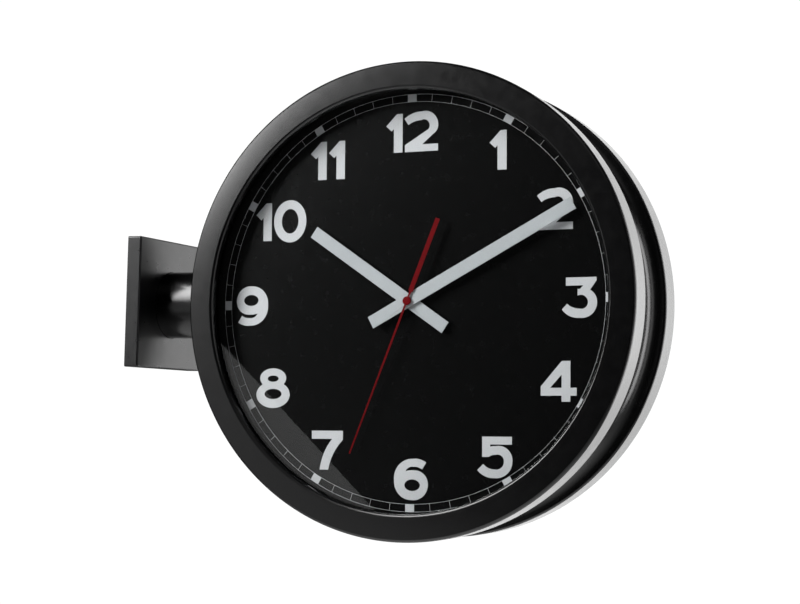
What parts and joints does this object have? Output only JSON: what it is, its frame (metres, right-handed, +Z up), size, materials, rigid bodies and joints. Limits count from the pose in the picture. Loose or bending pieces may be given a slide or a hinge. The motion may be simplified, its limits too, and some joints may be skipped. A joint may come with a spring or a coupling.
{
  "type": "double sided station clock",
  "caption": "Double sided railway station clock: two round black dials back to back on a waisted drum, carried from the wall by a short tube.",
  "frame": {"origin": "middle of the wall plate's back face", "axes": "+X away from the wall, +Z up, the front dial looks along -Y and the rear dial along +Y"},
  "size_m": [0.466, 0.128, 0.4],
  "materials": {
    "satin_black_case": "satin moulded black with a fine grain",
    "gloss_black_case": "glossy black",
    "gloss_black_steel": "glossy black enamel",
    "satin_cover": "satin black",
    "zinc_steel": "bright zinc plate",
    "spring_steel": "rolled strip",
    "clear_glass": "clear flat glass",
    "black_spacer": "matt black",
    "black_dial": "matt black lacquer",
    "white_print": "matt white ink",
    "white_hand": "matt white lacquer",
    "red_hand": "dark red lacquer",
    "brass": "turned",
    "movement_plastic": "moulded black",
    "gear_plastic": "natural acetal",
    "knob_plastic": "moulded light grey",
    "core_iron": "stamped plate",
    "copper_winding": "enamelled wire",
    "board": "laminate",
    "battery_can": "printed sleeve, no lettering",
    "back_plastic": "moulded black"
  },
  "bodies": {
    "bracket": {"wall_plate": "zinc_steel", "bracket_tube": "gloss_black_steel", "tube_flange": "gloss_black_steel", "bracket_screws": "zinc_steel", "centre_drum": "gloss_black_case", "retaining_clips": "spring_steel"},
    "cover": {"plate_cover": "satin_cover"},
    "front_head": {"front_bezel": "satin_black_case", "front_lens": "clear_glass", "front_spacer_ring": "black_spacer", "front_dial": "black_dial", "front_dial_markings": "white_print", "front_shaft_nut": "brass", "front_movement_case": "movement_plastic", "front_movement_cover": "movement_plastic", "front_stator": "core_iron", "front_coil": "copper_winding", "front_circuit_board": "board", "front_battery": "battery_can", "front_battery_contacts": "spring_steel", "front_back_plate": "back_plastic"},
    "front_minute": {"front_minute_hand": "white_hand", "front_cannon_pinion": "brass"},
    "front_hour": {"front_hour_hand": "white_hand", "front_hour_wheel": "gear_plastic"},
    "front_motion": {"front_motion_wheel": "gear_plastic", "front_set_knob": "knob_plastic"},
    "front_second": {"front_second_hand": "red_hand", "front_second_wheel": "gear_plastic"},
    "front_third": {"front_third_wheel": "gear_plastic"},
    "front_intermediate": {"front_intermediate_wheel": "gear_plastic"},
    "front_rotor": {"front_rotor": "gear_plastic"},
    "front_centre": {"front_centre_wheel": "gear_plastic"},
    "rear_head": {"rear_bezel": "satin_black_case", "rear_lens": "clear_glass", "rear_spacer_ring": "black_spacer", "rear_dial": "black_dial", "rear_dial_markings": "white_print", "rear_shaft_nut": "brass", "rear_movement_case": "movement_plastic", "rear_movement_cover": "movement_plastic", "rear_stator": "core_iron", "rear_coil": "copper_winding", "rear_circuit_board": "board", "rear_battery": "battery_can", "rear_battery_contacts": "spring_steel", "rear_back_plate": "back_plastic"},
    "rear_minute": {"rear_minute_hand": "white_hand", "rear_cannon_pinion": "brass"},
    "rear_hour": {"rear_hour_hand": "white_hand", "rear_hour_wheel": "gear_plastic"},
    "rear_motion": {"rear_motion_wheel": "gear_plastic", "rear_set_knob": "knob_plastic"},
    "rear_second": {"rear_second_hand": "red_hand", "rear_second_wheel": "gear_plastic"},
    "rear_third": {"rear_third_wheel": "gear_plastic"},
    "rear_intermediate": {"rear_intermediate_wheel": "gear_plastic"},
    "rear_rotor": {"rear_rotor": "gear_plastic"},
    "rear_centre": {"rear_centre_wheel": "gear_plastic"}
  },
  "joints": [
    {"name": "cover_slide", "type": "slide", "parent": "bracket", "child": "cover", "axis": [1, 0, 0], "range_m": [0, 0.052]},
    {"name": "front_head_slide", "type": "slide", "parent": "bracket", "child": "front_head", "axis": [0, -1, 0], "range_m": [0, 0.06]},
    {"name": "front_minute_spin", "type": "hinge", "parent": "front_head", "child": "front_minute", "pos_m": [0.266, -0.041, 0], "axis": [0, 1, 0], "continuous": true},
    {"name": "front_hour_spin", "type": "hinge", "parent": "front_head", "child": "front_hour", "pos_m": [0.266, -0.041, 0], "axis": [0, 1, 0], "continuous": true},
    {"name": "front_motion_spin", "type": "hinge", "parent": "front_head", "child": "front_motion", "pos_m": [0.2775, -0.041, 0], "axis": [0, 1, 0], "continuous": true},
    {"name": "front_second_spin", "type": "hinge", "parent": "front_head", "child": "front_second", "pos_m": [0.266, -0.041, 0], "axis": [0, 1, 0], "continuous": true},
    {"name": "front_third_spin", "type": "hinge", "parent": "front_head", "child": "front_third", "pos_m": [0.25585, -0.041, 0.00369], "axis": [0, 1, 0], "continuous": true},
    {"name": "front_intermediate_spin", "type": "hinge", "parent": "front_head", "child": "front_intermediate", "pos_m": [0.2716, -0.041, 0.0097], "axis": [0, 1, 0], "continuous": true},
    {"name": "front_rotor_spin", "type": "hinge", "parent": "front_head", "child": "front_rotor", "pos_m": [0.28175, -0.041, 0.01339], "axis": [0, 1, 0], "continuous": true},
    {"name": "front_centre_spin", "type": "hinge", "parent": "front_head", "child": "front_centre", "pos_m": [0.266, -0.041, 0], "axis": [0, 1, 0], "continuous": true},
    {"name": "rear_head_slide", "type": "slide", "parent": "bracket", "child": "rear_head", "axis": [0, 1, 0], "range_m": [0, 0.06]},
    {"name": "rear_minute_spin", "type": "hinge", "parent": "rear_head", "child": "rear_minute", "pos_m": [0.266, 0.041, 0], "axis": [0, -1, 0], "continuous": true},
    {"name": "rear_hour_spin", "type": "hinge", "parent": "rear_head", "child": "rear_hour", "pos_m": [0.266, 0.041, 0], "axis": [0, -1, 0], "continuous": true},
    {"name": "rear_motion_spin", "type": "hinge", "parent": "rear_head", "child": "rear_motion", "pos_m": [0.2545, 0.041, 0], "axis": [0, -1, 0], "continuous": true},
    {"name": "rear_second_spin", "type": "hinge", "parent": "rear_head", "child": "rear_second", "pos_m": [0.266, 0.041, 0], "axis": [0, -1, 0], "continuous": true},
    {"name": "rear_third_spin", "type": "hinge", "parent": "rear_head", "child": "rear_third", "pos_m": [0.27615, 0.041, 0.00369], "axis": [0, -1, 0], "continuous": true},
    {"name": "rear_intermediate_spin", "type": "hinge", "parent": "rear_head", "child": "rear_intermediate", "pos_m": [0.2604, 0.041, 0.0097], "axis": [0, -1, 0], "continuous": true},
    {"name": "rear_rotor_spin", "type": "hinge", "parent": "rear_head", "child": "rear_rotor", "pos_m": [0.25025, 0.041, 0.01339], "axis": [0, -1, 0], "continuous": true},
    {"name": "rear_centre_spin", "type": "hinge", "parent": "rear_head", "child": "rear_centre", "pos_m": [0.266, 0.041, 0], "axis": [0, -1, 0], "continuous": true}
  ],
  "couplings": [
    {"joint": "front_hour_spin", "follows": "front_minute_spin", "ratio": 0.083333},
    {"joint": "front_motion_spin", "follows": "front_minute_spin", "ratio": -0.33333},
    {"joint": "front_rotor_spin", "follows": "front_second_spin", "ratio": 30},
    {"joint": "front_intermediate_spin", "follows": "front_second_spin", "ratio": -6},
    {"joint": "front_third_spin", "follows": "front_second_spin", "ratio": -0.13333},
    {"joint": "front_centre_spin", "follows": "front_second_spin", "ratio": 0.016667},
    {"joint": "rear_hour_spin", "follows": "rear_minute_spin", "ratio": 0.083333},
    {"joint": "rear_motion_spin", "follows": "rear_minute_spin", "ratio": -0.33333},
    {"joint": "rear_rotor_spin", "follows": "rear_second_spin", "ratio": 30},
    {"joint": "rear_intermediate_spin", "follows": "rear_second_spin", "ratio": -6},
    {"joint": "rear_third_spin", "follows": "rear_second_spin", "ratio": -0.13333},
    {"joint": "rear_centre_spin", "follows": "rear_second_spin", "ratio": 0.016667}
  ]
}
